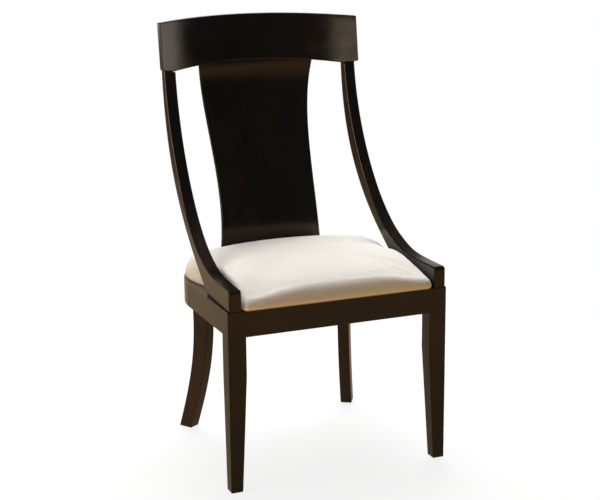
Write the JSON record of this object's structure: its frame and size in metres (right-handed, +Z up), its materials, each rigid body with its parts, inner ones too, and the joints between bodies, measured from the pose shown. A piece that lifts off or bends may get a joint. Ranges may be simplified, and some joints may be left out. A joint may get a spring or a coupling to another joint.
{
  "type": "klismos dining chair",
  "caption": "Dining chair with a bowed crest rail, waisted back splat, arms that sweep down to the seat frame, tapered front and sabre rear legs, and a crowned slip seat.",
  "frame": {"origin": "on the floor, under the middle of the chair's overall box", "axes": "+Z up, the chair faces -Y, +X to the right as seen from its front"},
  "size_m": [0.53, 0.5578, 1.0105],
  "materials": {
    "finished_wood": "very dark espresso brown stain under a satin to semi-gloss lacquer",
    "bare_wood": "bare beech, unfinished",
    "plywood": "bare birch plywood",
    "seat_foam": "open-cell polyurethane foam",
    "cover_cloth": "plain off-white woven upholstery cloth, matte",
    "dust_cloth": "black non-woven dust cloth",
    "screw_steel": "zinc-plated steel",
    "glide_nylon": "black nylon"
  },
  "bodies": {
    "root": {"crest_rail": "finished_wood", "back_splat": "finished_wood", "left_arm": "finished_wood", "right_arm": "finished_wood", "front_rail": "finished_wood", "rear_rail": "finished_wood", "left_side_rail": "finished_wood", "right_side_rail": "finished_wood", "left_front_leg": "finished_wood", "right_front_leg": "finished_wood", "left_rear_leg": "finished_wood", "right_rear_leg": "finished_wood", "left_front_corner_block": "bare_wood", "right_front_corner_block": "bare_wood", "left_rear_corner_block": "bare_wood", "right_rear_corner_block": "bare_wood", "front_left_glide": "glide_nylon", "front_right_glide": "glide_nylon", "rear_left_glide": "glide_nylon", "rear_right_glide": "glide_nylon", "seat_board": "plywood", "seat_foam": "seat_foam", "seat_cover": "cover_cloth", "dust_cover": "dust_cloth", "front_rail_dowel_1": "bare_wood", "front_rail_dowel_2": "bare_wood", "front_rail_dowel_3": "bare_wood", "front_rail_dowel_4": "bare_wood", "side_rail_dowel_1": "bare_wood", "side_rail_dowel_2": "bare_wood", "side_rail_dowel_3": "bare_wood", "side_rail_dowel_4": "bare_wood", "rear_rail_dowel_1": "bare_wood", "rear_rail_dowel_2": "bare_wood", "rear_rail_dowel_3": "bare_wood", "rear_rail_dowel_4": "bare_wood", "arm_dowel_1": "bare_wood", "arm_dowel_2": "bare_wood", "arm_dowel_3": "bare_wood", "arm_dowel_4": "bare_wood", "arm_dowel_5": "bare_wood", "arm_dowel_6": "bare_wood", "crest_dowel_1": "bare_wood", "crest_dowel_2": "bare_wood", "crest_dowel_3": "bare_wood", "crest_dowel_4": "bare_wood", "corner_block_screw_1": "screw_steel", "corner_block_screw_2": "screw_steel", "corner_block_screw_3": "screw_steel", "corner_block_screw_4": "screw_steel", "seat_screw_1": "screw_steel", "seat_screw_2": "screw_steel", "seat_screw_3": "screw_steel", "seat_screw_4": "screw_steel"}
  },
  "joints": []
}
